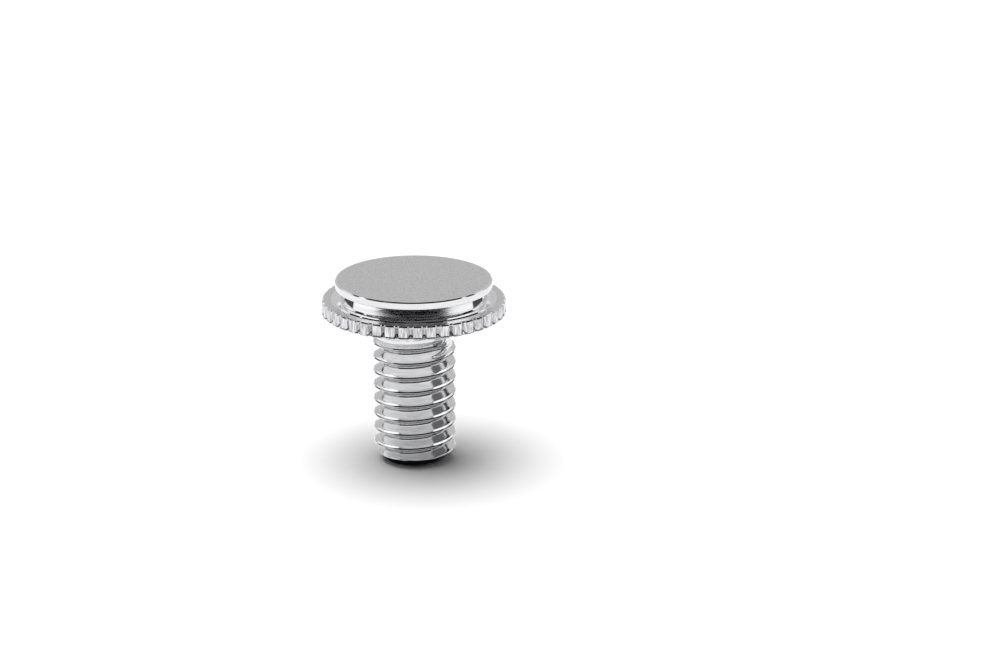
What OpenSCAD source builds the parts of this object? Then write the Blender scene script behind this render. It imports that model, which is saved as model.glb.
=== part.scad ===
// Self-clinching screw with a smooth pilot disc in place of a driven head.
//
// One turned and rolled piece of steel that stands on its flat point. From the
// top down: the pilot disc that fills a blind hole, the tapered neck that the
// sheet flows in around, the knurled flange that locks it against turning, and
// the shank with its right-hand thread. The origin is on the axis, at the point.

/* [Pilot disc] */
// Diameter of the smooth disc
disc_d = 7.3; // [7:0.05:7.9]
// Thickness of the disc
disc_t = 0.34; // [0.24:0.02:0.8]
// Chamfer round the disc's top edge
disc_chamfer = 0.04; // [0.02:0.01:0.1]

/* [Clinch groove] */
// Height of the groove, from the flange to the disc
groove_h = 0.6; // [0.4:0.02:1.2]
// Diameter of the neck at the flange
neck_d = 6.84; // [6:0.02:6.9]
// Taper of the neck towards the disc, from the axis
neck_taper = 10; // [2:1:15]
// Radius of the fillet at the foot of the neck
neck_fillet = 0.08; // [0.04:0.01:0.12]
// Diameter of the raised ring round the foot of the neck
ring_d = 7.48; // [7.3:0.02:7.8]
// Height of the raised ring
ring_h = 0.03; // [0.02:0.01:0.06]

/* [Knurled flange] */
// Diameter of the flange over its teeth
flange_d = 8.6; // [8.2:0.05:10]
// Thickness of the flange
flange_t = 0.62; // [0.4:0.02:1.2]
// Number of teeth round the flange
tooth_count = 42; // [30:1:50]
// Depth of the gaps between the teeth
tooth_depth = 0.14; // [0.08:0.01:0.2]
// Width of a gap at the tooth tips
gap_top_w = 0.3; // [0.22:0.01:0.36]
// Width of a gap at its floor
gap_floor_w = 0.12; // [0.08:0.01:0.2]
// Bevel along the upper and lower ends of the teeth
tooth_bevel = 0.09; // [0.04:0.01:0.18]

/* [Shank] */
// Length from the underside of the flange to the point
shank_len = 7.28; // [5:0.02:16]
// Diameter of the plain shank under the flange, before the thread is rolled
blank_d = 3.5; // [3.3:0.02:3.7]
// Radius of the fillet between the shank and the flange
shank_fillet = 0.22; // [0.1:0.01:0.4]

/* [Thread] */
// Diameter over the thread's crests, a little under the nominal 4 mm
thread_d = 3.92; // [3.82:0.01:4]
// Pitch of the thread
pitch = 0.7; // [0.6:0.05:0.8]
// Length from the flange to the crest where the thread dies out
plain_len = 1.17; // [1:0.01:2]
// Direction in which the thread dies out, counterclockwise from +X
run_out_at = -56; // [-180:1:180]
// Angle over which the thread's last turn dies out
run_out_angle = 24; // [16:2:90]

/* [Point] */
// Diameter of the flat at the point
point_d = 2.6; // [2:0.05:2.8]
// Angle of the point's chamfer from the axis
point_angle = 48; // [30:1:60]

/* [Hidden] */
$fn = 96;
overlap = 0.2; // how far joined solids reach into each other
clear = 1; // how far a cutting shape passes what it cuts
skin_step = 0.01; // how far the round shank stands proud of the thread's skin

disc_r = disc_d / 2;
neck_r = neck_d / 2;
ring_r = ring_d / 2;
flange_r = flange_d / 2;
tooth_root_r = flange_r - tooth_depth;
blank_r = blank_d / 2;
crest_r = thread_d / 2;
point_r = point_d / 2;

// Heights of the faces above the point.
flange_z = shank_len;
groove_z = flange_z + flange_t;
ring_z = groove_z + ring_h;
disc_z = groove_z + groove_h;
top_z = disc_z + disc_t;

// Radius of the neck where it meets the disc.
neck_top_r = neck_r - (disc_z - ring_z) * tan(neck_taper);

// The thread has the standard 60 degree form, with flats of an eighth of the
// pitch on the crest and in the root.
flank_angle = 30;
crest_flat = pitch / 8;
root_flat = pitch / 8;
flank_w = (pitch - crest_flat - root_flat) / 2;
root_r = crest_r - flank_w / tan(flank_angle);
blank_rise = (blank_r - root_r) * tan(flank_angle);

// The helix is drawn in this many steps a turn, from below the point to one
// turn past the place where it dies out.
turn_steps = 48;
step_angle = 360 / turn_steps;
step_rise = pitch / turn_steps;
last_crest_z = flange_z - plain_len;
run_out_step = (ceil(last_crest_z / pitch) + 1) * turn_steps;
skin_steps = run_out_step + turn_steps;

// One pitch of the thread, upwards over its crest: [height over the crest's
// middle, radius, turns up to the groove that the point belongs to].
section = [
    [-pitch / 2 + root_flat / 2, root_r, 0],
    [-pitch / 2 + root_flat / 2 + blank_rise, blank_r, 0],
    [-crest_flat / 2, crest_r, 0],
    [crest_flat / 2, crest_r, 1],
    [pitch / 2 - root_flat / 2 - blank_rise, blank_r, 1],
    [pitch / 2 - root_flat / 2, root_r, 1]
];
rows = len(section);

// Share of the thread's full height at a step along the helix: 1 on the full
// turns, falling to 0 where the thread dies out.
function fullness(step) =
    let (past = (step - run_out_step) * step_angle / run_out_angle)
    min(1, max(0, 0.5 - past));

// Rolling presses the groove into the blank and raises the crest over it, and
// both die out along the helix.
function thread_r(step, part) =
    part[1] > blank_r
        ? blank_r + (part[1] - blank_r) * fullness(step)
        : blank_r - (blank_r - part[1]) * fullness(step + part[2] * turn_steps);

function thread_point(step, part) =
    let (
        turned = run_out_at + (step - run_out_step) * step_angle,
        r = thread_r(step, part)
    )
    [
        r * cos(turned),
        r * sin(turned),
        last_crest_z + (step - run_out_step) * step_rise + part[0]
    ];

// Pilot disc on its tapered neck.
module pilot_disc() {
    rotate_extrude()
        polygon([
            [0, groove_z - overlap],
            [neck_r, groove_z - overlap],
            [neck_r, ring_z],
            [neck_top_r, disc_z],
            [disc_r, disc_z],
            [disc_r, top_z - disc_chamfer],
            [disc_r - disc_chamfer, top_z],
            [0, top_z]
        ]);
}

// Raised ring round the foot of the neck, with the neck's fillet. Its edge
// falls away at 45 degrees.
module neck_foot() {
    centre_r = neck_r + neck_fillet * (1 - sin(neck_taper)) / cos(neck_taper);
    centre_z = ring_z + neck_fillet;
    touch_r = centre_r - neck_fillet * cos(neck_taper);
    touch_z = centre_z - neck_fillet * sin(neck_taper);
    rotate_extrude() {
        polygon([
            [neck_r - overlap, groove_z - overlap],
            [ring_r, groove_z - overlap],
            [ring_r, groove_z],
            [ring_r - ring_h, ring_z],
            [neck_r - overlap, ring_z]
        ]);
        difference() {
            polygon([
                [neck_r - overlap, ring_z - overlap],
                [centre_r, ring_z - overlap],
                [centre_r, centre_z],
                [touch_r, touch_z],
                [neck_r - overlap, touch_z]
            ]);
            translate([centre_r, centre_z]) circle(r = neck_fillet);
        }
    }
}

// Plan of one gap between two teeth, on the +X side.
module tooth_gap() {
    outer_r = flange_r + clear;
    polygon([
        [tooth_root_r, -gap_floor_w / 2],
        [flange_r, -gap_top_w / 2],
        [outer_r, -gap_top_w / 2],
        [outer_r, gap_top_w / 2],
        [flange_r, gap_top_w / 2],
        [tooth_root_r, gap_floor_w / 2]
    ]);
}

// Flange with straight teeth round its rim, bevelled at both ends.
module knurled_flange() {
    difference() {
        translate([0, 0, flange_z])
            rotate_extrude()
                polygon([
                    [0, 0],
                    [flange_r - tooth_bevel, 0],
                    [flange_r, tooth_bevel],
                    [flange_r, flange_t - tooth_bevel],
                    [flange_r - tooth_bevel, flange_t],
                    [0, flange_t]
                ]);
        translate([0, 0, flange_z - clear])
            linear_extrude(height = flange_t + 2 * clear)
                for (i = [0:tooth_count - 1])
                    rotate(i * 360 / tooth_count) tooth_gap();
    }
}

// Plain length of the shank, with the fillet that carries the flange.
module plain_shank() {
    plain_r = blank_r + skin_step;
    plain_z = last_crest_z + crest_flat / 2 + flank_w;
    rotate_extrude() {
        translate([0, plain_z]) square([plain_r, flange_z + overlap - plain_z]);
        difference() {
            translate([0, flange_z - shank_fillet])
                square([plain_r + shank_fillet, shank_fillet + overlap]);
            translate([plain_r + shank_fillet, flange_z - shank_fillet])
                circle(r = shank_fillet);
        }
    }
}

// The threaded shank as one closed skin. Its rows run along the helix, so the
// row after the last of one step is the first row of the step one turn later.
module thread_skin() {
    last_step = skin_steps + turn_steps;
    function at(step, row) =
        row < rows ? step * rows + row : (step + turn_steps) * rows;
    points = [
        for (step = [0:last_step], part = section) thread_point(step, part),
        [0, 0, last_crest_z - run_out_step * step_rise - pitch],
        [0, 0, last_crest_z + (last_step - run_out_step) * step_rise]
    ];
    foot = len(points) - 2;
    head = len(points) - 1;
    faces = [
        for (step = [0:skin_steps - 1], row = [0:rows - 1])
            each [
                [at(step, row), at(step, row + 1), at(step + 1, row)],
                [at(step + 1, row), at(step, row + 1), at(step + 1, row + 1)]
            ],
        for (step = [0:turn_steps - 1]) [foot, at(step, 0), at(step + 1, 0)],
        for (row = [0:rows - 1]) [foot, at(0, row + 1), at(0, row)],
        for (step = [skin_steps:last_step - 1])
            [head, at(step + 1, 0), at(step, 0)],
        for (row = [0:rows - 1])
            [head, at(skin_steps, row), at(skin_steps, row + 1)]
    ];
    polyhedron(points = points, faces = faces);
}

// What the point's flat and chamfer leave of the shank.
module point_envelope() {
    reach_r = crest_r + clear;
    rotate_extrude()
        polygon([
            [0, 0],
            [point_r, 0],
            [reach_r, (reach_r - point_r) / tan(point_angle)],
            [reach_r, flange_z + clear],
            [0, flange_z + clear]
        ]);
}

// Threaded length of the shank, down to its flat point.
module threaded_shank() {
    intersection() {
        thread_skin();
        point_envelope();
    }
}

// The whole screw: one piece of bright steel.
module screw() {
    color("silver")
        union() {
            threaded_shank();
            plain_shank();
            knurled_flange();
            neck_foot();
            pilot_disc();
        }
}

screw();
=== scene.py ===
"""Looks of a self-clinching screw: one piece of bright steel that stands on its flat point.

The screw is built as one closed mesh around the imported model. Its thread is swept along the helix
and its knurl is repeated round the flange by Geometry Nodes, and the neck and the disc are turned.
"""

import logging
import random
from dataclasses import dataclass
from enum import Enum
from math import atan2, ceil, cos, hypot, inf, pi, radians, sin, tan

import bmesh
import bpy
from mathutils import Matrix, Vector


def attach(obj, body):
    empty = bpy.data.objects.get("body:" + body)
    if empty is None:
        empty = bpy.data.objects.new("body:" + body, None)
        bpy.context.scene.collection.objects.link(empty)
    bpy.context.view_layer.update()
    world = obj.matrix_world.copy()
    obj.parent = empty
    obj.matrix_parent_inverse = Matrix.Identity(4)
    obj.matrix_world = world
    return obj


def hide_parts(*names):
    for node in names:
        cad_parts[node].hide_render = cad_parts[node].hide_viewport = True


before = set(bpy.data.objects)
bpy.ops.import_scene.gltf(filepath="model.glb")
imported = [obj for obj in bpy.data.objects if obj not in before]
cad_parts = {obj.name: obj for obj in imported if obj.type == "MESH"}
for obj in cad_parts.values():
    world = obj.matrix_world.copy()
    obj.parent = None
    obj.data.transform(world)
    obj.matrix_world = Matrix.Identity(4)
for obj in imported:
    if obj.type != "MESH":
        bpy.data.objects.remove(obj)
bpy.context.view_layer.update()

LOG = logging.getLogger("clinch_screw")
MM = 0.001
TURN = 2 * pi
QUARTER = pi / 2

# Points nearer than this are merged, and it is the smallest radius that a pattern divides by.
WELD = 0.0005 * MM
# How near to a level plane a point counts as in it, for the cut at the point and at the seat.
CUT_REACH = WELD / 50
SEAT_REACH = WELD / 10

# Outlines, in millimetres: straight steps in a fillet, the longest step along a flat, and how far
# from a flat's ends an extra point keeps its shading flat.
FILLET_STEPS = 4
LONGEST_STEP = 0.08
FLAT_HOLD = 0.008
# A shorter stretch is dropped, and the slack keeps a rounding error from adding a step.
SAME_POINT = 1e-7
STEP_SLACK = 1e-6

# Radius at which the marks of a turned finish are as long as the finish says.
ROUND_REACH = 4.0 * MM
# The noise runs mostly between these values, which become the brightest and the dullest marks.
MARK_SPAN = (0.35, 0.65)
MARK_DETAIL = 2.0

Profile = list[tuple[float, float]]


def linear(colour: str) -> tuple[float, float, float, float]:
    """Turns an sRGB hex colour into linear RGBA.

    Args:
        colour: Six hex digits after a hash sign.

    Returns:
        The linear red, green and blue, with an alpha of 1.
    """
    shares = [int(colour[i : i + 2], 16) / 255 for i in (1, 3, 5)]
    red, green, blue = (s / 12.92 if s <= 0.04045 else ((s + 0.055) / 1.055) ** 2.4 for s in shares)
    return red, green, blue, 1.0


def between(span: tuple[float, float], share: float) -> float:
    """The number at a share of the way from one to another."""
    return span[0] + (span[1] - span[0]) * share


def add_node(
    tree: bpy.types.NodeTree,
    kind: str,
    settings: dict[str | int, object] | None = None,
    links: dict[str | int, bpy.types.NodeSocket] | None = None,
) -> bpy.types.Node:
    """Adds a node with its settings and links.

    Args:
        tree: The tree that the node joins.
        kind: The node's type, by its identifier.
        settings: Values by property name, input name or input number.
        links: Source sockets by input name or number.

    Returns:
        The new node.
    """
    node = tree.nodes.new(kind)
    for key, value in (settings or {}).items():
        if isinstance(key, int) or key in node.inputs:
            node.inputs[key].default_value = value
        else:
            setattr(node, key, value)
    for key, source in (links or {}).items():
        tree.links.new(source, node.inputs[key])
    return node


class Field:
    """A number that a node tree works out at each point, written with plain operators."""

    def __init__(self, tree: bpy.types.NodeTree, socket: bpy.types.NodeSocket) -> None:
        """Wraps one output socket of a tree."""
        self.tree = tree
        self.socket = socket

    def math(self, operation: str, *others: "Field | float") -> "Field":
        """Applies one Math operation.

        Args:
            operation: The Math node's operation.
            *others: The second and third terms, as fields or plain numbers.

        Returns:
            The result as a field.
        """
        terms = dict(enumerate((self, *others)))
        settings = {"operation": operation}
        settings |= {i: t for i, t in terms.items() if not isinstance(t, Field)}
        links = {i: t.socket for i, t in terms.items() if isinstance(t, Field)}
        return Field(self.tree, add_node(self.tree, "ShaderNodeMath", settings, links).outputs[0])

    def __add__(self, other: "Field | float") -> "Field":
        """The sum of two terms."""
        return self.math("ADD", other)

    def __sub__(self, other: "Field | float") -> "Field":
        """The difference of two terms."""
        return self.math("SUBTRACT", other)

    def __mul__(self, other: "Field | float") -> "Field":
        """The product of two terms."""
        return self.math("MULTIPLY", other)

    def __truediv__(self, other: "Field | float") -> "Field":
        """The quotient of two terms."""
        return self.math("DIVIDE", other)

    def clamped(self, low: float, high: "Field | float") -> "Field":
        """The number held between two limits."""
        return self.math("MAXIMUM", low).math("MINIMUM", high)


def direct(path: bpy.types.Node) -> Field:
    """1 for what is seen straight or in the steel, and 0 for light on its way to the table."""
    return Field(path.id_data, path.outputs["Diffuse Depth"]).math("LESS_THAN", 0.5)


class Finish(Enum):
    """The finishes of the screw's surfaces, in the order of its material slots."""

    TUMBLED_FACE = 0
    ROLLED_THREAD = 1
    TURNED_GROOVE = 2
    PRESSED_KNURL = 3


class Lay(Enum):
    """The way the fine marks run that a process leaves on steel."""

    EVEN = "even"
    ROUND = "round"
    UPRIGHT = "upright"


@dataclass(frozen=True)
class SteelFinish:
    """Bright plated steel as one process leaves it. Lengths are in millimetres.

    The marks go from the first roughness and colour to the second. Where the gaps' shade is given,
    painted shade darkens the steel, and it grows rougher, from its first radius to its second.
    """

    name: str
    lay: Lay
    mark_w: float
    mark_len: float
    depth: float
    colour: str
    dull_colour: str
    roughness: tuple[float, float]
    # Radii between which painted shade darkens the steel, or None for no painted shade.
    cavity_shade: tuple[float, float] | None = None

    def radius(self, x: Field, y: Field) -> Field:
        """The distance from the screw's axis."""
        return (x * x + y * y).math("SQRT")

    def marks(self, x: Field, y: Field, z: Field) -> bpy.types.NodeSocket:
        """Draws the marks, a noise that is stretched along the lay.

        Args:
            x: The place on the screw along X, in metres.
            y: The same along Y.
            z: The height over the point.

        Returns:
            The height of the marks.
        """
        # Only marks round the axis need the noise's fourth way. X hardly moves it elsewhere.
        tree = x.tree
        wide, long = self.mark_w * MM, self.mark_len * MM
        if self.lay is Lay.ROUND:
            radius = self.radius(x, y).math("MAXIMUM", WELD)
            reach = ROUND_REACH / long
            ways = (radius / wide, z / wide, x / radius * reach, y / radius * reach)
        elif self.lay is Lay.UPRIGHT:
            ways = (x / wide, y / wide, z / long, x)
        else:
            ways = (x / wide, y / wide, z / wide, x)
        vector = add_node(
            tree, "ShaderNodeCombineXYZ", links={i: way.socket for i, way in enumerate(ways[:3])}
        )
        noise = add_node(
            tree,
            "ShaderNodeTexNoise",
            {"noise_dimensions": "4D", "Scale": 1.0, "Detail": MARK_DETAIL},
            {"Vector": vector.outputs[0], "W": ways[3].socket},
        )
        return noise.outputs["Fac"]

    def material(self) -> bpy.types.Material:
        """Makes the finish's material.

        Returns:
            The material, whose patterns lie on Object coordinates.
        """
        material = bpy.data.materials.new(self.name)
        material.use_nodes = True
        tree = material.node_tree
        shader = tree.nodes["Principled BSDF"]
        shader.inputs["Metallic"].default_value = 1.0
        where = add_node(tree, "ShaderNodeTexCoord")
        parts = add_node(tree, "ShaderNodeSeparateXYZ", links={"Vector": where.outputs["Object"]})
        x, y, z = (Field(tree, socket) for socket in parts.outputs)
        height = self.marks(x, y, z)
        span = {"From Min": MARK_SPAN[0], "From Max": MARK_SPAN[1]}
        share = add_node(tree, "ShaderNodeMapRange", span, {"Value": height})
        marks_and_shade = Field(tree, share.outputs[0])
        # Painted shade: the colour darkens and the roughness grows towards the floors of the
        # knurl's gaps.
        if self.cavity_shade:
            open_r, deep_r = self.cavity_shade
            painted_gap_shade = (self.radius(x, y) - open_r * MM) / ((deep_r - open_r) * MM)
            marks_and_shade = marks_and_shade.math("MAXIMUM", painted_gap_shade.clamped(0.0, 1.0))
        low, high = self.roughness
        rough = add_node(
            tree, "ShaderNodeMapRange", {"To Min": low, "To Max": high}, {"Value": marks_and_shade.socket}
        )
        tint = add_node(
            tree,
            "ShaderNodeMix",
            {"data_type": "RGBA", 6: linear(self.colour), 7: linear(self.dull_colour)},
            {0: marks_and_shade.socket},
        )
        bump = add_node(tree, "ShaderNodeBump", {"Distance": self.depth * MM}, {"Height": height})
        tree.links.new(rough.outputs[0], shader.inputs["Roughness"])
        tree.links.new(tint.outputs[2], shader.inputs["Base Color"])
        tree.links.new(bump.outputs[0], shader.inputs["Normal"])
        return material


# Bright zinc-plated carbon steel. Its real marks are 0.01 to 0.03 mm wide, and all are drawn 0.06
# or 0.07 mm wide so that they show.
FINISHES = {
    # Tumbled after it was headed: even and satin, with a fine grain.
    Finish.TUMBLED_FACE: SteelFinish(
        name="tumbled_zinc_plated_steel",
        lay=Lay.EVEN,
        mark_w=0.07,
        mark_len=0.07,
        depth=0.0004,
        colour="#e4e4e6",
        dull_colour="#cececf",
        roughness=(0.16, 0.24),
    ),
    # Burnished by the rolling dies: it mirrors, with faint streaks along the turns. The edges of
    # the disc and the flange are as smooth.
    Finish.ROLLED_THREAD: SteelFinish(
        name="rolled_zinc_plated_steel",
        lay=Lay.ROUND,
        mark_w=0.06,
        mark_len=1.5,
        depth=0.0004,
        colour="#e8e8ea",
        dull_colour="#dcdcde",
        roughness=(0.08, 0.14),
    ),
    # Turned with a sharp tool: it mirrors best, with fine rings from the tool's feed.
    Finish.TURNED_GROOVE: SteelFinish(
        name="turned_zinc_plated_steel",
        lay=Lay.ROUND,
        mark_w=0.06,
        mark_len=2.5,
        depth=0.0007,
        colour="#f2f2f4",
        dull_colour="#e4e4e6",
        roughness=(0.05, 0.1),
    ),
    # Pressed in a toothed die, which drags upright scratches down each tooth. The floors of the
    # gaps have painted shade, a darker colour, and more roughness.
    Finish.PRESSED_KNURL: SteelFinish(
        name="pressed_zinc_plated_steel",
        lay=Lay.UPRIGHT,
        mark_w=0.06,
        mark_len=0.4,
        depth=0.002,
        colour="#ececee",
        # The dull colour is also the painted shade on the gaps' floors.
        dull_colour="#a4a4a8",
        roughness=(0.1, 0.22),
        # Painted shade in the gaps, from 4.26 mm in to 4.1 mm.
        cavity_shade=(4.26, 4.1),
    ),
}


def rounded(corners: list[tuple[float, float, float]]) -> Profile:
    """Draws an open line through corners, each with its own fillet.

    Args:
        corners: Each corner's two coordinates and its radius, 0 for a sharp one.

    Returns:
        The points of the line.
    """
    line: Profile = []
    for i, (x, y, radius) in enumerate(corners):
        if radius == 0 or i in (0, len(corners) - 1):
            line.append((x, y))
            continue
        here = Vector((x, y))
        before = (Vector(corners[i - 1][:2]) - here).normalized()
        after = (Vector(corners[i + 1][:2]) - here).normalized()
        half = before.angle(after) / 2
        centre = here + (before + after).normalized() * (radius / sin(half))
        first = here + before * (radius / tan(half)) - centre
        last = here + after * (radius / tan(half)) - centre
        sweep = first.angle_signed(last)
        for k in range(FILLET_STEPS + 1):
            point = centre + Matrix.Rotation(-sweep * k / FILLET_STEPS, 2) @ first
            line.append((point.x, point.y))
    return line


def divided(line: Profile, longest: float = LONGEST_STEP, hold: float = FLAT_HOLD) -> Profile:
    """Splits the long stretches of a line.

    Args:
        line: The points of an open line.
        longest: The longest step that is left, in the line's own unit.
        hold: Distance from both ends of a stretch at which a point keeps its shading flat, or 0.

    Returns:
        The line with points added.
    """
    result = [line[0]]
    for (x0, y0), (x1, y1) in zip(line, line[1:]):
        length = hypot(x1 - x0, y1 - y0)
        if length < SAME_POINT:
            continue
        parts = max(1, ceil(length / longest - STEP_SLACK))
        shares = {k / parts for k in range(1, parts + 1)}
        if 0 < hold < length / 3:
            shares |= {hold / length, 1 - hold / length}
        result += [(x0 + (x1 - x0) * share, y0 + (y1 - y0) * share) for share in sorted(shares)]
    return result


def mesh_from(
    name: str, points: list[tuple[float, float, float]], faces: list[tuple[int, ...]]
) -> bpy.types.Mesh:
    """Makes a mesh from points in millimetres.

    Args:
        name: The mesh's name.
        points: The place of each point.
        faces: The numbers of each face's points.

    Returns:
        The mesh, in metres.
    """
    mesh = bpy.data.meshes.new(name)
    mesh.from_pydata([Vector(p) * MM for p in points], [], faces)
    return mesh


def add_object(name: str, data: bpy.types.ID) -> bpy.types.Object:
    """Puts an object into the scene, at the origin.

    Args:
        name: The object's name.
        data: Its mesh, lamp or camera.

    Returns:
        The object.
    """
    made = bpy.data.objects.new(name, data)
    bpy.context.scene.collection.objects.link(made)
    return made


@dataclass
class NodeTree:
    """A Geometry Nodes tree with named inputs, and the values that the modifier gives them."""

    name: str

    def __post_init__(self) -> None:
        """Makes the empty tree with its geometry sockets."""
        self.values: dict[str, object] = {}
        self.tree = bpy.data.node_groups.new(self.name, "GeometryNodeTree")
        for way in ("INPUT", "OUTPUT"):
            self.tree.interface.new_socket("Geometry", in_out=way, socket_type="NodeSocketGeometry")
        self.inputs = self.tree.nodes.new("NodeGroupInput")

    def input(self, name: str, value: object) -> bpy.types.NodeSocket:
        """Adds a named input.

        Args:
            name: The input's name.
            value: The value that the modifier gives it, whose type sets the socket's.

        Returns:
            The input's socket inside the tree.
        """
        kinds = {int: "Int", float: "Float", bpy.types.Material: "Material"}
        kind = next(k for t, k in kinds.items() if isinstance(value, t))
        socket = self.tree.interface.new_socket(
            name, in_out="INPUT", socket_type=f"NodeSocket{kind}"
        )
        self.values[socket.identifier] = value
        return self.inputs.outputs[name]

    def number(self, name: str, value: float) -> Field:
        """Adds a named number input, as a field."""
        return Field(self.tree, self.input(name, value))

    def index(self) -> Field:
        """The number of the point that the tree works on."""
        return Field(self.tree, add_node(self.tree, "GeometryNodeInputIndex").outputs[0])

    def close(self, geometry: bpy.types.NodeSocket, material: bpy.types.Material) -> None:
        """Makes the geometry real, dresses it and joins it to the tree's output.

        Args:
            geometry: The finished geometry.
            material: Its finish, which is the tree's last input.
        """
        solid = add_node(self.tree, "GeometryNodeRealizeInstances", links={"Geometry": geometry})
        dressed = add_node(
            self.tree,
            "GeometryNodeSetMaterial",
            links={"Geometry": solid.outputs[0], "Material": self.input("Finish", material)},
        )
        add_node(self.tree, "NodeGroupOutput", links={"Geometry": dressed.outputs[0]})

    def grown(self, seed: bpy.types.Mesh) -> bpy.types.Mesh:
        """Runs the tree on a mesh and keeps the result as a plain mesh.

        Args:
            seed: The mesh that the tree starts from. It is used up.

        Returns:
            The mesh that the tree made.
        """
        carrier = add_object(self.name, seed)
        modifier = carrier.modifiers.new(self.name, "NODES")
        modifier.node_group = self.tree
        for identifier, value in self.values.items():
            modifier[identifier] = value
        depsgraph = bpy.context.evaluated_depsgraph_get()
        mesh = bpy.data.meshes.new_from_object(carrier.evaluated_get(depsgraph))
        carrier.modifiers.remove(modifier)
        bpy.data.objects.remove(carrier)
        bpy.data.meshes.remove(seed)
        return mesh


@dataclass
class ThreadedShank:
    """The shank with its rolled thread, flat point and the fillet that carries the flange.

    Sizes are in millimetres and degrees, with heights above the point.
    """

    seat_z: float = 7.28
    crest_r: float = 1.96
    blank_r: float = 1.76
    pitch: float = 0.7
    plain_len: float = 1.17
    seat_fillet: float = 0.22
    # Where the last crest dies out, over what angle, and how late its height falls: 1 is evenly.
    run_out_at: float = -43.0
    run_out_angle: float = 26.0
    run_out_power: float = 0.6
    # The flat point, its chamfer, and the short steep edge between them.
    point_r: float = 1.3
    point_angle: float = 48.0
    point_round: float = 0.035
    edge_angle: float = 72.0
    chamfer_round: float = 0.05
    # The crest: sharp below, then a leaning land and a shoulder where the rolled steel met.
    crest_round: float = 0.015
    crest_low: float = 0.05
    crest_mid: float = 0.02
    crest_lean: float = 20.0
    shoulder_lean: float = 38.0
    shoulder_round: float = 0.03
    flank_angle: float = 30.0
    turn_steps: int = 96
    row_step: float = 0.05
    # Turns that are swept past the point and past the seat, and cut off again.
    spare_below: float = 1.7
    spare_above: float = 0.5

    @property
    def flat_w(self) -> float:
        """Half the flat on the crest and in the root, a sixteenth of the pitch."""
        return self.pitch / 16

    @property
    def root_r(self) -> float:
        """Radius at the bottom of the thread's groove."""
        flank_w = self.pitch / 2 - 2 * self.flat_w
        return self.crest_r - flank_w / tan(radians(self.flank_angle))

    def section(self) -> bpy.types.Mesh:
        """Draws one pitch of the thread, up over its crest.

        Returns:
            A line of points: X is the radius, Z the height over the crest's middle, and Y is 1
            millimetre on the points above the crest, which belong to the groove one turn up.
        """
        half = self.pitch / 2
        tangent = tan(radians(self.flank_angle))
        root_round = self.flat_w / tangent
        inset = (self.crest_low + self.crest_mid) * tan(radians(self.crest_lean))
        lean = radians(self.shoulder_lean)
        run = (self.flat_w + inset * tangent - self.crest_mid) / (cos(lean) - sin(lean) * tangent)
        land_r = self.crest_r - inset
        corners = [
            (self.root_r, -half, 0),
            (self.root_r, -half + self.flat_w, root_round),
            (self.crest_r, -self.crest_low, self.crest_round),
            (land_r, self.crest_mid, self.shoulder_round),
            (land_r - run * sin(lean), self.crest_mid + run * cos(lean), self.shoulder_round),
            (self.root_r, half - self.flat_w, root_round),
            (self.root_r, half, 0),
        ]
        line = divided(rounded(corners), self.row_step, 0.0)
        return mesh_from("thread_section", [(r, float(z > 0), z) for r, z in line], [])

    def fading(self, turns: Field, run_out: Field) -> Field:
        """The thread's share of its height at turns past its last crest, from 1 down to 0."""
        past = (turns / run_out - 0.5).clamped(-1, 0.0)
        return (past * -1).math("POWER", self.run_out_power)

    def sweep(self, rows: int, material: bpy.types.Material) -> NodeTree:
        """Builds the tree that sweeps the section along the helix.

        Args:
            rows: Points in the section.
            material: The finish of the shank.

        Returns:
            The tree, ready to be grown from the section.
        """
        made = NodeTree("rolled_thread")
        tree = made.tree
        seat_run = self.seat_fillet * QUARTER + self.pitch + 2 * self.row_step
        crest_z = self.seat_z - self.plain_len
        length_up = self.plain_len - self.seat_fillet + seat_run + self.spare_above * self.pitch
        steps_down = ceil((crest_z / self.pitch + self.spare_below) * self.turn_steps)
        steps_up = ceil(length_up / self.pitch * self.turn_steps)
        count = made.input("Steps", steps_down + steps_up)
        row_count = made.input("Rows", rows)
        first = made.number("First Step", float(-steps_down))
        turn_steps = made.number("Steps per Turn", float(self.turn_steps))
        pitch = made.number("Pitch", self.pitch * MM)
        blank_r = made.number("Blank Radius", self.blank_r * MM)
        last_crest = made.number("Last Crest Height", crest_z * MM)
        last_angle = made.number("Last Crest Angle", radians(self.run_out_at))
        run_out = made.number("Run-out Share of a Turn", self.run_out_angle / 360)
        crest_height = made.number("Crest Height", (self.crest_r - self.blank_r) * MM)
        groove_depth = made.number("Groove Depth", (self.blank_r - self.root_r) * MM)
        point_r = made.number("Point Radius", self.point_r * MM)
        point_slope = made.number("Point Slope", tan(radians(self.point_angle)))
        point_edge = made.number("Point Edge Radius", (self.point_r - self.point_round) * MM)
        edge_slope = made.number("Point Edge Slope", tan(radians(self.edge_angle)))
        point_round = made.number("Point Rounding", self.point_round * MM)
        chamfer_round = made.number("Chamfer Rounding", self.chamfer_round * MM)
        seat_z = made.number("Seat Height", self.seat_z * MM)
        fillet = made.number("Seat Fillet", self.seat_fillet * MM)

        # Each step along the helix repeats the section's points.
        index = made.index()
        row_field = Field(tree, row_count)
        row = index.math("MODULO", row_field)
        step = (index / row_field).math("FLOOR") + first
        sample = add_node(
            tree,
            "GeometryNodeSampleIndex",
            {"data_type": "FLOAT_VECTOR", "domain": "POINT"},
            {
                "Geometry": made.inputs.outputs["Geometry"],
                "Value": add_node(tree, "GeometryNodeInputPosition").outputs[0],
                "Index": row.socket,
            },
        )
        parts = add_node(tree, "ShaderNodeSeparateXYZ", links={"Vector": sample.outputs["Value"]})
        across, above, along = (Field(tree, s) for s in parts.outputs)
        turns = step / turn_steps
        height = turns * pitch + along + last_crest

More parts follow.
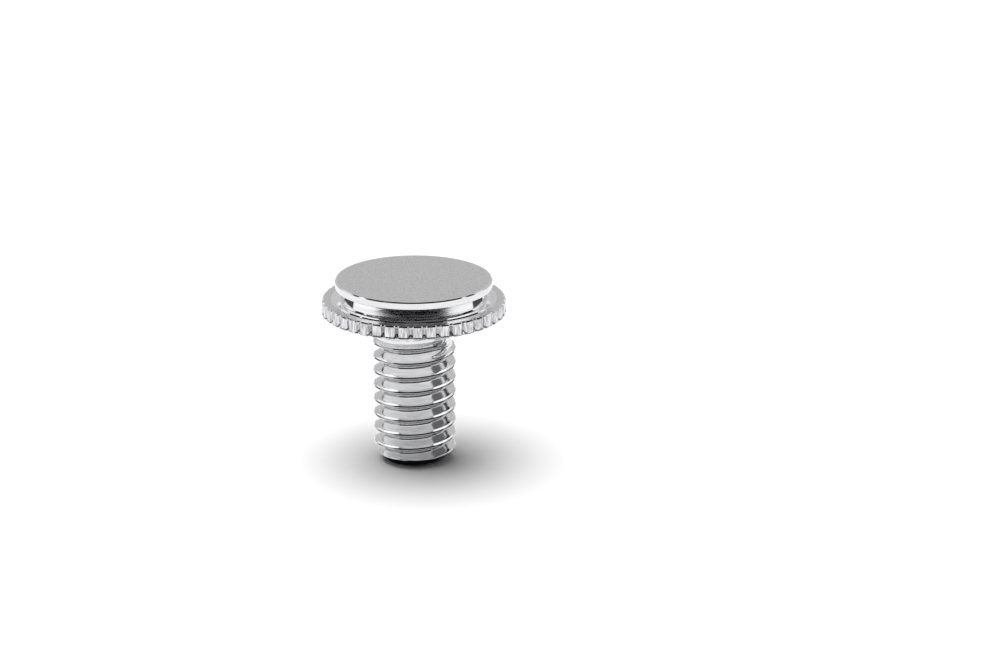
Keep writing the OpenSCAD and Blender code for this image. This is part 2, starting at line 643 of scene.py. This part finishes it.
        # The crest and the groove both start at the plain blank, and the point turns them down.
        crest_share = self.fading(turns, run_out)
        groove_share = self.fading(turns + above / MM, run_out)
        rise = across - blank_r
        crest = (rise - (crest_share * -1 + 1) * crest_height).math("MAXIMUM", 0.0)
        groove = (rise + (groove_share * -1 + 1) * groove_depth).math("MINIMUM", 0.0)
        thread_r = blank_r + crest + groove
        cone_r = point_r + height * point_slope
        edge_r = point_edge + height * edge_slope
        coned_r = thread_r.math("SMOOTH_MIN", cone_r, chamfer_round)
        turned_r = coned_r.math("SMOOTH_MIN", edge_r, point_round)

        # Above the plain length the skin bends out along the fillet and runs level in the seat.
        past = height - (seat_z - fillet)
        bend = (past / fillet).clamped(0.0, QUARTER)
        flat_run = (past - fillet * QUARTER).math("MAXIMUM", 0.0)
        radius = turned_r + fillet - fillet * bend.math("COSINE") + flat_run
        lifted = height.math("MINIMUM", seat_z - fillet) + fillet * bend.math("SINE")
        angle = turns * TURN + last_angle
        place = add_node(
            tree,
            "ShaderNodeCombineXYZ",
            links={
                "X": (radius * angle.math("COSINE")).socket,
                "Y": (radius * angle.math("SINE")).socket,
                "Z": lifted.socket,
            },
        )
        grid = add_node(
            tree, "GeometryNodeMeshGrid", links={"Vertices X": count, "Vertices Y": row_count}
        )
        wound = add_node(
            tree,
            "GeometryNodeSetPosition",
            links={"Geometry": grid.outputs["Mesh"], "Position": place.outputs[0]},
        )
        made.close(wound.outputs[0], material)
        return made

    def build(self, material: bpy.types.Material) -> bpy.types.Mesh:
        """Makes the shank's skin, cut off level at the point and at the seat.

        Args:
            material: The finish of the shank.

        Returns:
            The skin, with one open rim in each of the two planes.
        """
        section = self.section()
        mesh = self.sweep(len(section.vertices), material).grown(section)
        shape = bmesh.new()
        shape.from_mesh(mesh)
        bmesh.ops.remove_doubles(shape, verts=shape.verts, dist=WELD)
        bmesh.ops.bisect_plane(
            shape,
            geom=[*shape.verts, *shape.edges, *shape.faces],
            dist=CUT_REACH,
            plane_co=(0.0, 0.0, 0.0),
            plane_no=(0.0, 0.0, -1.0),
            clear_outer=True,
        )
        level = self.seat_z * MM - SEAT_REACH
        seat = [f for f in shape.faces if all(v.co.z > level for v in f.verts)]
        bmesh.ops.delete(shape, geom=seat, context="FACES")
        shape.to_mesh(mesh)
        shape.free()
        return mesh


@dataclass
class KnurledFlange:
    """The rim of the flange, with straight teeth all round.

    Sizes are in millimetres and degrees, with heights above the point.
    """

    bottom_z: float = 7.28
    top_z: float = 7.90
    tip_r: float = 4.297
    inner_r: float = 4.0
    tooth_count: int = 42
    first_gap: float = -1.25
    gap_depth: float = 0.15
    gap_top_w: float = 0.24
    gap_floor_w: float = 0.05
    # How far beside a gap's corners its columns stand, at the floor, at the mouth and on the tooth.
    floor_edge: float = 0.01
    mouth_edge: float = 0.012
    tooth_edge: float = 0.05
    top_bevel: float = 0.055
    bevel_lean: float = 47.0
    top_round: float = 0.012
    low_round: float = 0.02
    # The die leaves a small burr along the lower ends of the teeth.
    burr: float = 0.03
    burr_z: float = 0.045
    burr_top: float = 0.1
    burr_foot_round: float = 0.01
    burr_round: float = 0.015
    # The gaps are half closed by a lip above and by a sill below.
    lip: float = 0.09
    lip_slope: float = 0.05
    lip_share: float = 0.4
    sill: float = 0.1
    sill_slope: float = 0.07
    sill_share: float = 0.5
    # The teeth differ a little: each variant draws its depth, its width and its place.
    variants: int = 6
    spread: float = 0.22
    width_change: float = 0.5
    place_change: float = 0.06
    seed: int = 11

    def rim(self) -> Profile:
        """Draws the outline of a tooth.

        Returns:
            Radius and height, from the flat top round to the underside.
        """
        tooth_r = self.tip_r - self.burr
        bevel_z = self.top_z - self.top_bevel / tan(radians(self.bevel_lean))
        corners = [
            (self.inner_r, self.top_z, 0),
            (tooth_r - self.top_bevel, self.top_z, self.top_round),
            (tooth_r, bevel_z, self.top_round),
            (tooth_r, self.bottom_z + self.burr_top, self.burr_foot_round),
            (self.tip_r, self.bottom_z + self.burr_z, self.burr_round),
            (tooth_r, self.bottom_z, self.low_round),
            (self.inner_r, self.bottom_z, 0),
        ]
        return divided(rounded(corners))

    def columns(self) -> list[float]:
        """Sets the columns of points across one tooth pitch.

        Returns:
            Their distances from the middle of a gap, along the tip circle.
        """
        half_pitch = self.tip_r * pi / self.tooth_count
        floor, top = self.gap_floor_w / 2, self.gap_top_w / 2
        flank = (top - floor) / 3
        right = [
            floor - self.floor_edge,
            floor + self.floor_edge,
            floor + flank,
            floor + 2 * flank,
            top - self.mouth_edge,
            top + self.mouth_edge,
            top + self.tooth_edge,
            half_pitch,
        ]
        return [-x for x in reversed(right)] + [0.0] + right

    def cut(self, across: float, z: float, depth: float, width: float) -> float:
        """How far the gap reaches in from the tip circle.

        Args:
            across: Distance from the middle of the gap, along the tip circle.
            z: Height of the place.
            depth: The gap's depth.
            width: The gap's width as a share of the usual one.

        Returns:
            The depth of the gap there.
        """
        flank = (self.gap_top_w - self.gap_floor_w) / 2
        slope = (self.gap_top_w / 2 * width - abs(across)) / flank
        below = min(1.0, max(0.0, (self.top_z - self.lip - z) / self.lip_slope))
        above = min(1.0, max(0.0, (z - self.bottom_z - self.sill) / self.sill_slope))
        share = (self.lip_share + (1 - self.lip_share) * below) * (
            self.sill_share + (1 - self.sill_share) * above
        )
        return depth * min(share, max(0.0, slope))

    def cells(self) -> bpy.types.Mesh:
        """Makes one pitch of the rim with its gap in the middle, in several variants.

        Returns:
            All the variants in one mesh, one after the other.
        """
        draw = random.Random(self.seed)
        points: list[tuple[float, float, float]] = []
        faces: list[tuple[int, ...]] = []
        rim = self.rim()
        columns = self.columns()
        rows = len(rim)
        flat = self.tip_r - self.burr - self.top_bevel - self.inner_r
        for _ in range(self.variants):
            depth, width, aside = (draw.uniform(-1, 1) * self.spread for _ in range(3))
            gap_depth = self.gap_depth * (1 + depth)
            gap_share = 1 + width * self.width_change
            known = len(points)
            for across in columns:
                angle = across / self.tip_r
                for r, z in rim:
                    cut = self.cut(across - aside * self.place_change, z, gap_depth, gap_share)
                    reach = r - cut * min(1.0, max(0.0, (r - self.inner_r) / flat))
                    points.append((reach * cos(angle), reach * sin(angle), z))
            for c in range(len(columns) - 1):
                for k in range(rows - 1):
                    a = known + c * rows + k
                    faces.append((a, a + rows, a + rows + 1, a + 1))
        return mesh_from("tooth_cells", points, faces)

    def repeat(self, points: int, material: bpy.types.Material) -> NodeTree:
        """Builds the tree that sets the variants round the flange.

        Args:
            points: Points in one variant of the cell.
            material: The finish of the teeth.

        Returns:
            The tree, ready to be grown from the variants.
        """
        made = NodeTree("knurl_teeth")
        tree = made.tree
        count = made.input("Teeth", self.tooth_count)
        cell_points = made.number("Points per Variant", float(points))
        last = made.input("Last Variant", self.variants - 1)
        seed = made.input("Seed", self.seed)
        first = made.number("First Gap", radians(self.first_gap))
        line = add_node(tree, "GeometryNodeMeshLine", {"Offset": (0.0, 0.0, 0.0)}, {"Count": count})
        index = made.index()
        variant = (index / cell_points).math("FLOOR")
        cells = add_node(
            tree,
            "GeometryNodeSplitToInstances",
            {"domain": "POINT"},
            {"Geometry": made.inputs.outputs["Geometry"], "Group ID": variant.socket},
        )
        pick = add_node(
            tree, "FunctionNodeRandomValue", {"data_type": "INT", 4: 0}, {5: last, "Seed": seed}
        )
        turn = index / Field(tree, count) * TURN + first
        facing = add_node(tree, "ShaderNodeCombineXYZ", links={"Z": turn.socket})
        copies = add_node(
            tree,
            "GeometryNodeInstanceOnPoints",
            {"Pick Instance": True},
            {
                "Points": line.outputs[0],
                "Instance": cells.outputs["Instances"],
                "Instance Index": pick.outputs[2],
                "Rotation": facing.outputs[0],
            },
        )
        made.close(copies.outputs[0], material)
        return made

    def build(self, material: bpy.types.Material) -> bpy.types.Mesh:
        """Makes the rim all round, open at its inner circle above and below."""
        cells = self.cells()
        return self.repeat(len(cells.vertices) // self.variants, material).grown(cells)


@dataclass
class PilotDisc:
    """The disc, the tapered neck and the raised ring at its foot.

    Sizes are in millimetres and degrees, with heights above the point.
    """

    foot_z: float = 7.90
    groove_h: float = 0.6
    top_z: float = 8.84
    disc_r: float = 3.65
    neck_r: float = 3.42
    neck_taper: float = 9.4
    bevel_lean: float = 47.0
    foot_bevel: float = 0.06
    ring_r: float = 3.79
    ring_h: float = 0.05
    outer_r: float = 3.85
    chamfer: float = 0.05
    edge_round: float = 0.012
    neck_round: float = 0.02
    under_round: float = 0.03
    # Where the finish changes, in from the disc's rim, below and above, and the face's last ring.
    under_rim_w: float = 0.06
    face_rim_w: float = 0.12
    face_edge_w: float = 0.2
    columns: int = 180

    def outline(self) -> list[tuple[Finish, Profile]]:
        """Draws the half section from the flange's flat up to the disc's face.

        Returns:
            Each stretch's finish, with its radii and heights.
        """
        ring_z = self.foot_z + self.ring_h
        under_z = self.foot_z + self.groove_h
        neck_h = self.groove_h - self.ring_h - self.foot_bevel
        neck_top_r = self.neck_r - neck_h * tan(radians(self.neck_taper))
        rim_z = self.top_z - self.chamfer
        lean = tan(radians(self.bevel_lean))
        under_r = self.disc_r - self.under_rim_w
        face_r = self.disc_r - self.face_rim_w
        groove = [
            (self.outer_r, self.foot_z, 0),
            (self.ring_r, self.foot_z, self.edge_round),
            (self.ring_r - self.ring_h * lean, ring_z, self.edge_round),
            (self.neck_r + self.foot_bevel * lean, ring_z, self.neck_round),
            (self.neck_r, ring_z + self.foot_bevel, self.neck_round),
            (neck_top_r, under_z, self.under_round),
            (under_r, under_z, 0),
        ]
        rim = [
            (under_r, under_z, 0),
            (self.disc_r, under_z, self.neck_round),
            (self.disc_r, rim_z, self.edge_round),
            (self.disc_r - self.chamfer, self.top_z, self.edge_round),
            (face_r, self.top_z, 0),
        ]
        face = [(face_r, self.top_z), (self.disc_r - self.face_edge_w, self.top_z)]
        return [
            (Finish.TURNED_GROOVE, divided(rounded(groove))),
            (Finish.ROLLED_THREAD, divided(rounded(rim))),
            (Finish.TUMBLED_FACE, face),
        ]

    def ring(self, shape: bmesh.types.BMesh, r: float, z: float) -> list[bmesh.types.BMVert]:
        """Adds one level circle of points, anticlockwise from the X axis."""
        angles = [TURN * c / self.columns for c in range(self.columns)]
        return [shape.verts.new(Vector((cos(a) * r, sin(a) * r, z)) * MM) for a in angles]

    def build(self, shape: bmesh.types.BMesh) -> None:
        """Turns the outline into the mesh, and closes the disc's face.

        Args:
            shape: The mesh.
        """
        for finish, line in self.outline():
            rings = [self.ring(shape, r, z) for r, z in line]
            for low, high in zip(rings, rings[1:]):
                for c in range(self.columns):
                    n = (c + 1) % self.columns
                    side = shape.faces.new((low[c], low[n], high[n], high[c]))
                    side.material_index = finish.value
        shape.faces.new(rings[-1]).material_index = Finish.TUMBLED_FACE.value


def open_rims(shape: bmesh.types.BMesh, z: float) -> list[list[bmesh.types.BMVert]]:
    """Finds the open rims in one level plane and puts their points in order.

    Args:
        shape: The mesh, whose rims are closed lines round the axis.
        z: Height of the plane in millimetres.

    Returns:
        Each rim's points, anticlockwise from above and from the lowest angle on, the inmost first.
    """
    left = {
        e
        for e in shape.edges
        if e.is_boundary and all(abs(v.co.z - z * MM) < WELD for v in e.verts)
    }
    rims: list[list[bmesh.types.BMVert]] = []
    while left:
        edge = left.pop()
        start, here = edge.verts
        rim = [here]
        while here is not start:
            edge = next(e for e in here.link_edges if e in left)
            left.remove(edge)
            here = edge.other_vert(here)
            rim.append(here)
        turning = sum(a.co.x * b.co.y - a.co.y * b.co.x for a, b in zip(rim, rim[1:] + rim[:1]))
        if turning < 0:
            rim.reverse()
        first = min(range(len(rim)), key=lambda k: atan2(rim[k].co.y, rim[k].co.x))
        rims.append(rim[first:] + rim[:first])
    return sorted(rims, key=lambda rim: hypot(rim[0].co.x, rim[0].co.y))


@dataclass
class ClinchScrew:
    """The whole screw, one closed piece of steel."""

    shank: ThreadedShank
    flange: KnurledFlange
    disc: PilotDisc

    def finish_at(self, face: bmesh.types.BMFace, usual: Finish) -> Finish:
        """Picks the finish of a face of the shank or the flange.

        Args:
            face: The face.
            usual: The finish of the part that it belongs to.

        Returns:
            The usual finish, but the flange's top is tumbled and the bevel round it is burnished.
        """
        low = min(v.co.z for v in face.verts)
        if low > self.flange.top_z * MM - WELD:
            return Finish.TUMBLED_FACE
        if low > (self.flange.top_z - self.flange.top_bevel) * MM:
            return Finish.ROLLED_THREAD
        return usual

    def close(self, shape: bmesh.types.BMesh, z: float) -> None:
        """Closes one open rim with a flat face, or the level gap between two rims with a ring.

        The ring's triangles step along whichever rim is behind, because the two rims have
        different numbers of points.

        Args:
            shape: The mesh.
            z: Height of the rims in millimetres.
        """
        rims = open_rims(shape, z)
        if len(rims) == 1:
            shape.faces.new(rims[0]).material_index = Finish.TUMBLED_FACE.value
            return
        sides = [[(atan2(v.co.y, v.co.x), v) for v in rim] for rim in rims]
        for side in sides:
            side += [(side[0][0] + TURN, side[0][1]), (inf, side[0][1])]
        inner, outer = sides
        i = 0
        j = 0
        while i < len(inner) - 2 or j < len(outer) - 2:
            corners = [inner[i][1], outer[j][1]]
            if inner[i + 1][0] <= outer[j + 1][0]:
                i += 1
                corners.append(inner[i][1])
            else:
                j += 1
                corners.append(outer[j][1])
            shape.faces.new(corners).material_index = Finish.TUMBLED_FACE.value

    def build(self, materials: dict[Finish, bpy.types.Material]) -> bpy.types.Object:
        """Joins the parts to one piece.

        Args:
            materials: The material of each finish.

        Returns:
            The finished object.
        """
        shape = bmesh.new()
        for part, finish in (
            (self.shank, Finish.ROLLED_THREAD),
            (self.flange, Finish.PRESSED_KNURL),
        ):
            mesh = part.build(materials[finish])
            known = len(shape.faces)
            shape.from_mesh(mesh)
            shape.faces.ensure_lookup_table()
            for face in shape.faces[known:]:
                face.material_index = self.finish_at(face, finish).value
            bpy.data.meshes.remove(mesh)
        self.disc.build(shape)
        bmesh.ops.remove_doubles(shape, verts=shape.verts, dist=WELD)
        for z in (0.0, self.shank.seat_z, self.flange.top_z):
            self.close(shape, z)
        bmesh.ops.recalc_face_normals(shape, faces=shape.faces)
        for face in shape.faces:
            face.smooth = True
        mesh = bpy.data.meshes.new("clinch_screw")
        shape.to_mesh(mesh)
        shape.free()
        for finish in Finish:
            mesh.materials.append(materials[finish])
        return add_object("clinch_screw", mesh)


@dataclass
class Card:
    """A curved sheet round the screw that is seen in the steel alone.

    Azimuth 0 is on the camera's side and grows to the camera's right. Angles are in degrees, and
    lengths in millimetres.
    """

    name: str
    azimuths: tuple[float, float]
    elevations: tuple[float, float]
    shade: str
    strength: float = 1.0
    distance: float = 300.0
    steps: int = 24

    def angles(self, across: float, along: float) -> tuple[float, float]:
        """Azimuth and elevation at shares of the card's width and height, in radians."""
        return radians(between(self.azimuths, across)), radians(between(self.elevations, along))

    def place(self, across: float, along: float) -> Vector:
        """Finds a point of the card, which is part of a sphere.

        Args:
            across: Share of the width.
            along: Share of the height.

        Returns:
            The point, with X towards the camera's side.
        """
        azimuth, elevation = self.angles(across, along)
        run = self.distance * cos(elevation)
        return Vector((run * cos(azimuth), run * sin(azimuth), self.distance * sin(elevation)))

    def glow(self) -> bpy.types.Material:
        """Makes the card's material, which shines in the steel and gives the table no light.

        Returns:
            The material.
        """
        material = bpy.data.materials.new(self.name)
        material.use_nodes = True
        tree = material.node_tree
        tree.nodes.clear()
        strength = direct(add_node(tree, "ShaderNodeLightPath")) * self.strength
        light = add_node(
            tree, "ShaderNodeEmission", {"Color": linear(self.shade)}, {"Strength": strength.socket}
        )
        add_node(tree, "ShaderNodeOutputMaterial", links={"Surface": light.outputs[0]})
        material.cycles.emission_sampling = "NONE"
        return material

    def build(self, facing: float) -> bpy.types.Object:
        """Hangs the card up.

        Args:
            facing: Azimuth of the camera in the frame, from the frame's X axis.

        Returns:
            The card.
        """
        steps = self.steps
        shares = [k / steps for k in range(steps + 1)]
        points = [self.place(across, along) for across in shares for along in shares]
        corners = [c * (steps + 1) + k for c in range(steps) for k in range(steps)]
        faces = [(a, a + 1, a + steps + 2, a + steps + 1) for a in corners]
        mesh = mesh_from(self.name, points, faces)
        mesh.transform(Matrix.Rotation(radians(facing), 4, "Z"))
        card = add_object(self.name, mesh)
        card.data.materials.append(self.glow())
        for ray in ("camera", "diffuse", "shadow", "transmission", "volume_scatter"):
            setattr(card, f"visible_{ray}", False)
        return card


@dataclass
class StandingCard(Card):
    """A card that stands upright on the table, near the screw."""

    distance: float = 38.0

    def place(self, across: float, along: float) -> Vector:
        """Finds a point of the card, which is part of a cylinder.

        Args:
            across: Share of the width.
            along: Share of the height.

        Returns:
            The point, with X towards the camera's side.
        """
        azimuth, elevation = self.angles(across, along)
        run = self.distance
        return Vector((run * cos(azimuth), run * sin(azimuth), run * tan(elevation)))


@dataclass
class TableCard(Card):
    """A card that lies on the table. Its two sides run out from their own origins."""

    origins: tuple[tuple[float, float], tuple[float, float]] = ((0.0, 0.0), (0.0, 0.0))
    near: float = 1.0
    # Just under the point and just over the table's sheet.
    height: float = -0.005

    def place(self, across: float, along: float) -> Vector:
        """Finds a point of the card, which is level.

        Args:
            across: Share of the width.
            along: Share of the length, from its near end.

        Returns:
            The point, with X towards the camera's side.
        """
        azimuth, _ = self.angles(across, along)
        run = between((self.near, self.distance), along)
        x, y = (between(span, across) for span in zip(*self.origins))
        return Vector((x + run * cos(azimuth), y + run * sin(azimuth), self.height))


@dataclass
class Studio:
    """A white table under soft light, with cards that the steel mirrors, and the camera.

    Lengths are in millimetres and angles in degrees.
    """

    # The world's light on the table, as a share of its white, and the lamp's radiance.
    ambient: float = 0.18
    overhead: float = 4.8
    overhead_size: float = 897.0
    overhead_distance: float = 880.0
    overhead_lean: float = 6.0
    overhead_azimuth: float = -115.0
    floor_colour: str = "#fafafa"
    floor_half: float = 900.0
    floor_gap: float = 0.01
    lens: float = 100.0
    sensor_w: float = 36.0
    camera_place: tuple[float, float, float] = (11.4399, -122.0218, 47.9429)
    camera_turn: float = 3.486
    camera_tilt: float = 18.8268
    camera_roll: float = 0.1552
    # The nearest and the furthest that the camera sees, in metres.
    clip: tuple[float, float] = (0.01, 10.0)
    # Dark cards in front and above draw the steel against the white, white ones at the sides light
    # its rims, and the two on the table are painted shadow and shade, seen in the steel alone,
    # which darken the thread's lower flanks and the point.
    cards: tuple[Card, ...] = (
        Card("front_card", (-60, 60), (0, 34), "#060606"),
        Card("front_middle_card", (-60, 60), (34, 48), "#686868"),
        Card("front_top_card", (-60, 60), (48, 62), "#c8c8c8"),
        Card("white_card_left", (-105, -60), (25, 49), "#ffffff", strength=1.4),
        Card("white_card_right", (60, 105), (25, 49), "#ffffff", strength=1.4),
        Card("side_top_card_left", (-105, -60), (49, 62), "#101010"),
        Card("side_top_card_right", (60, 105), (49, 62), "#101010"),
        Card("dark_low_card", (60, 82), (0, 25), "#1c1c1c"),
        Card("grey_card_right", (82, 105), (0, 25), "#909090"),
        Card("grey_card_left", (-105, -60), (0, 25), "#b4b4b4"),
        StandingCard("dark_card_left", (-132, -101), (0, 13), "#4c4c4c"),
        StandingCard("dark_card_right", (101, 132), (0, 13), "#4c4c4c"),
        Card("back_card", (132, 228), (0, 38), "#d0d0d0"),
        Card("back_top_card", (105, 255), (38, 62), "#101010"),
        Card("ceiling", (0, 360), (62, 82), "#101010"),
        # Painted reflection of shade: a grey sheet on the table, seen in the steel alone, darkens
        # the thread's flanks on the camera's right.
        TableCard(
            "painted_shade_card",
            (67, 119),
            (0, 0),
            "#787878",
            distance=19.0,
            origins=((1.43, 0.93), (0.9, 1.5)),
            near=0.5,
        ),
        # Painted shadow: a black ring round the point, seen in the steel alone, deepens the contact
        # shadow that the point's chamfer mirrors.
        TableCard("contact_shadow_card", (0, 360), (0, 0), "#0a0a0a", distance=2.1, steps=72, near=1.3),
    )

    @property
    def facing(self) -> float:
        """Azimuth of the camera in the frame, from the frame's X axis."""
        return self.camera_turn - 90

    def fill(self) -> None:
        """Lights the world: white to the eye and in the steel, and a dim fill on the table."""
        world = bpy.data.worlds.new("studio")
        bpy.context.scene.world = world
        world.use_nodes = True
        tree = world.node_tree
        path = add_node(tree, "ShaderNodeLightPath")
        seen = Field(tree, path.outputs["Is Camera Ray"])
        for ray in ("Is Glossy Ray", "Is Transmission Ray"):
            seen = seen.math("MAXIMUM", Field(tree, path.outputs[ray]))
        strength = seen * direct(path) * (1 - self.ambient) + self.ambient
        tree.nodes["Background"].inputs["Color"].default_value = (1, 1, 1, 1)
        tree.links.new(strength.socket, tree.nodes["Background"].inputs["Strength"])

    def hang_lamp(self) -> None:
        """Hangs the round soft lamp, which the steel doesn't mirror."""
        lamp = bpy.data.lights.new("overhead", "AREA")
        lamp.shape = "DISK"
        lamp.size = self.overhead_size * MM
        # The power of a flat lamp is its radiance times its area, pi / 4 * size**2, times pi.
        lamp.energy = self.overhead * pi * pi / 4 * lamp.size**2
        top = add_object("overhead", lamp)
        lean = radians(self.overhead_lean)
        azimuth = radians(self.facing + self.overhead_azimuth)
        run = sin(lean)
        way = Vector((run * cos(azimuth), run * sin(azimuth), cos(lean)))
        top.location = way * self.overhead_distance * MM
        top.rotation_euler = way.to_track_quat("Z", "Y").to_euler()
        top.visible_glossy = False

    def lay_table(self) -> None:
        """Lays the sheet that the screw stands on."""
        side, gap = self.floor_half, -self.floor_gap
        corners = [(-side, -side, gap), (side, -side, gap), (side, side, gap), (-side, side, gap)]
        floor = add_object("floor", mesh_from("floor", corners, [(0, 1, 2, 3)]))
        # Matt white paper, with no gloss at all: it shows only the screw's soft shadow.
        paper = bpy.data.materials.new("white_paper")
        paper.use_nodes = True
        shader = paper.node_tree.nodes["Principled BSDF"]
        shader.inputs["Base Color"].default_value = linear(self.floor_colour)
        shader.inputs["Roughness"].default_value = 1
        shader.inputs["Specular IOR Level"].default_value = 0
        floor.data.materials.append(paper)

    def aim_camera(self) -> None:
        """Places the camera."""
        lens = bpy.data.cameras.new("camera")
        lens.lens = self.lens
        lens.sensor_width = self.sensor_w
        lens.clip_start, lens.clip_end = self.clip
        camera = add_object("camera", lens)
        turn = Matrix.Rotation(radians(self.camera_turn), 4, "Z")
        pitch = Matrix.Rotation(radians(90 - self.camera_tilt), 4, "X")
        roll = Matrix.Rotation(radians(self.camera_roll), 4, "Z")
        place = Matrix.Translation(Vector(self.camera_place) * MM)
        camera.matrix_world = place @ turn @ pitch @ roll
        bpy.context.scene.camera = camera

    def build(self) -> None:
        """Makes the world, the lamp, the table, the cards and the camera."""
        bpy.context.scene.view_settings.view_transform = "Standard"
        self.fill()
        self.hang_lamp()
        self.lay_table()
        for card in self.cards:
            card.build(self.facing)
        self.aim_camera()


def log_piece(piece: bpy.types.Object) -> None:
    """Reports a finished piece.

    Args:
        piece: The piece.
    """
    shape = bmesh.new()
    shape.from_mesh(piece.data)
    triangles = sum(len(face.verts) - 2 for face in shape.faces)
    open_edges = sum(not edge.is_manifold for edge in shape.edges)
    shape.free()
    LOG.info("%s: %d triangles, %d open edges", piece.name, triangles, open_edges)


def main() -> None:
    """Builds the screw and the studio."""
    logging.basicConfig(level=logging.INFO, format="%(name)s %(message)s")
    materials = {slot: finish.material() for slot, finish in FINISHES.items()}
    screw = ClinchScrew(ThreadedShank(), KnurledFlange(), PilotDisc()).build(materials)
    log_piece(screw)
    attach(screw, "root")
    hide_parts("screw")
    Studio().build()


if __name__ == "__main__":
    main()
